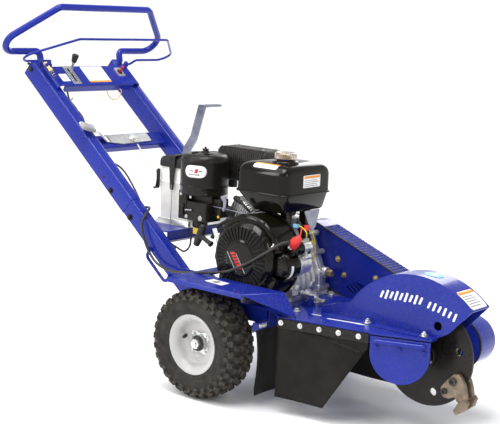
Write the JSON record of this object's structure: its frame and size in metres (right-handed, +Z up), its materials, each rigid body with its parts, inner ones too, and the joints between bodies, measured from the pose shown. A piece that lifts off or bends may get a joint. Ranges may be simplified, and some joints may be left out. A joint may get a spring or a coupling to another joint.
{
  "type": "stump grinder",
  "caption": "Walk-behind stump grinder: petrol engine on a wheeled steel chassis, belt-driven toothed cutter disc under a hood, sloping handle rails, console, levers and loop handlebar.",
  "frame": {"origin": "on the ground, half way between the two wheels, under the axle", "axes": "+X forward from the axle to the cutter, +Y to the machine's left (the belt side), +Z up"},
  "size_m": [1.6861, 0.695, 1.1065],
  "materials": {
    "blue_paint": "gloss",
    "black_gloss": "gloss",
    "black_satin": "satin",
    "black_plastic": "matte",
    "cast_aluminium": "matte",
    "cast_iron": "matte",
    "zinc_plate": "satin",
    "bright_steel": "satin",
    "worn_steel": "matte",
    "bright_plate": "gloss",
    "rim_paint": "satin",
    "tyre_rubber": "matte",
    "rubber_sheet": "matte",
    "battery_case": "satin",
    "red_plastic": "gloss"
  },
  "bodies": {
    "chassis": {"rail_upper_right": "blue_paint", "rail_upper_left": "blue_paint", "rail_lower_right": "blue_paint", "rail_lower_left": "blue_paint", "cross_member": "blue_paint", "console_panel": "blue_paint", "handlebar": "blue_paint", "deck": "blue_paint", "side_member_right": "blue_paint", "side_member_left": "blue_paint", "fender_right": "blue_paint", "fender_left": "blue_paint", "battery_shelf": "blue_paint", "belt_guard": "blue_paint", "belt_guard_back": "blue_paint", "cutter_housing": "blue_paint", "side_guard": "blue_paint", "fan_cowl": "black_gloss", "recoil_cover": "black_gloss", "fuel_tank": "black_gloss", "starter_motor": "black_gloss", "air_cleaner": "black_satin", "muffler": "black_satin", "skirt_clamp": "black_satin", "battery_cover": "black_plastic", "battery_strap": "black_plastic", "throttle_cable": "black_plastic", "wiring_harness": "black_plastic", "carburettor": "black_plastic", "engine_block": "cast_aluminium", "bearing_right": "cast_iron", "bearing_left": "cast_iron", "axle": "bright_steel", "skirt_right": "rubber_sheet", "skirt_rear": "rubber_sheet", "skirt_left": "rubber_sheet", "drive_belt_1": "rubber_sheet", "drive_belt_2": "rubber_sheet", "battery": "battery_case"},
    "wheel_right": {"rim_right": "rim_paint", "tyre_right": "tyre_rubber"},
    "wheel_left": {"rim_left": "rim_paint", "tyre_left": "tyre_rubber"},
    "cutter": {"cutter_shaft": "bright_steel", "cutter_disc": "black_satin", "tooth_1": "worn_steel", "tooth_2": "worn_steel", "tooth_3": "worn_steel", "tooth_4": "worn_steel", "driven_pulley": "cast_iron"},
    "crank": {"drive_pulley": "cast_iron"},
    "bail": {"presence_bail": "blue_paint"},
    "throttle": {"throttle_lever": "bright_steel"},
    "switch_paddle": {"stop_switch": "red_plastic"},
    "lock": {"lock_lever": "zinc_plate"},
    "tensioner": {"tension_lever": "bright_steel"},
    "choke": {"choke_lever": "black_plastic"},
    "pull_grip": {"recoil_grip": "black_plastic"},
    "tank_cap": {"fuel_cap": "bright_plate"},
    "oil_plug": {"oil_cap": "black_plastic"}
  },
  "joints": [
    {"name": "wheel_right_spin", "type": "hinge", "parent": "chassis", "child": "wheel_right", "pos_m": [0, -0.283, 0.16], "axis": [0, 1, 0], "continuous": true},
    {"name": "wheel_left_spin", "type": "hinge", "parent": "chassis", "child": "wheel_left", "pos_m": [0, 0.283, 0.16], "axis": [0, 1, 0], "continuous": true},
    {"name": "cutter_spin", "type": "hinge", "parent": "chassis", "child": "cutter", "pos_m": [0.62, -0.065, 0.217], "axis": [0, 1, 0], "continuous": true},
    {"name": "crank_spin", "type": "hinge", "parent": "chassis", "child": "crank", "pos_m": [0.075, 0.14, 0.41], "axis": [0, 1, 0], "continuous": true},
    {"name": "bail_swing", "type": "hinge", "parent": "chassis", "child": "bail", "pos_m": [-0.8166, 0, 0.9056], "axis": [0, -1, 0], "range_deg": [0, 33], "stiffness_Nm_per_rad": 0.5, "springref_deg": -28.65},
    {"name": "throttle_swing", "type": "hinge", "parent": "chassis", "child": "throttle", "pos_m": [-0.8112, -0.095, 0.8536], "axis": [0, 1, 0], "range_deg": [0, 55]},
    {"name": "switch_tip", "type": "hinge", "parent": "chassis", "child": "switch_paddle", "pos_m": [-0.7962, 0.128, 0.8841], "axis": [0, 1, 0], "range_deg": [-20, 20]},
    {"name": "lock_swing", "type": "hinge", "parent": "chassis", "child": "lock", "pos_m": [-0.6155, 0.02, 0.6731], "axis": [0.6414, 0, 0.7672], "range_deg": [-15, 15]},
    {"name": "tension_swing", "type": "hinge", "parent": "chassis", "child": "tensioner", "pos_m": [-0.4975, 0.15, 0.5601], "axis": [0, 1, 0], "range_deg": [-20, 20]},
    {"name": "choke_swing", "type": "hinge", "parent": "chassis", "child": "choke", "pos_m": [-0.236, -0.138, 0.515], "axis": [0, 1, 0], "range_deg": [-35, 35]},
    {"name": "recoil_pull", "type": "slide", "parent": "chassis", "child": "pull_grip", "axis": [-0.9136, 0, 0.4067], "range_m": [0, 0.42], "stiffness_N_per_m": 20, "springref_m": -0.1},
    {"name": "fuel_cap_turn", "type": "hinge", "parent": "chassis", "child": "tank_cap", "pos_m": [0.101, -0.066, 0.7], "axis": [0, 0, 1], "range_deg": [0, 90]},
    {"name": "oil_cap_turn", "type": "hinge", "parent": "chassis", "child": "oil_plug", "pos_m": [0.18, 0.068, 0.347], "axis": [1, 0, 0], "range_deg": [0, 180]}
  ],
  "couplings": [
    {"joint": "crank_spin", "follows": "cutter_spin", "ratio": 1.1}
  ]
}
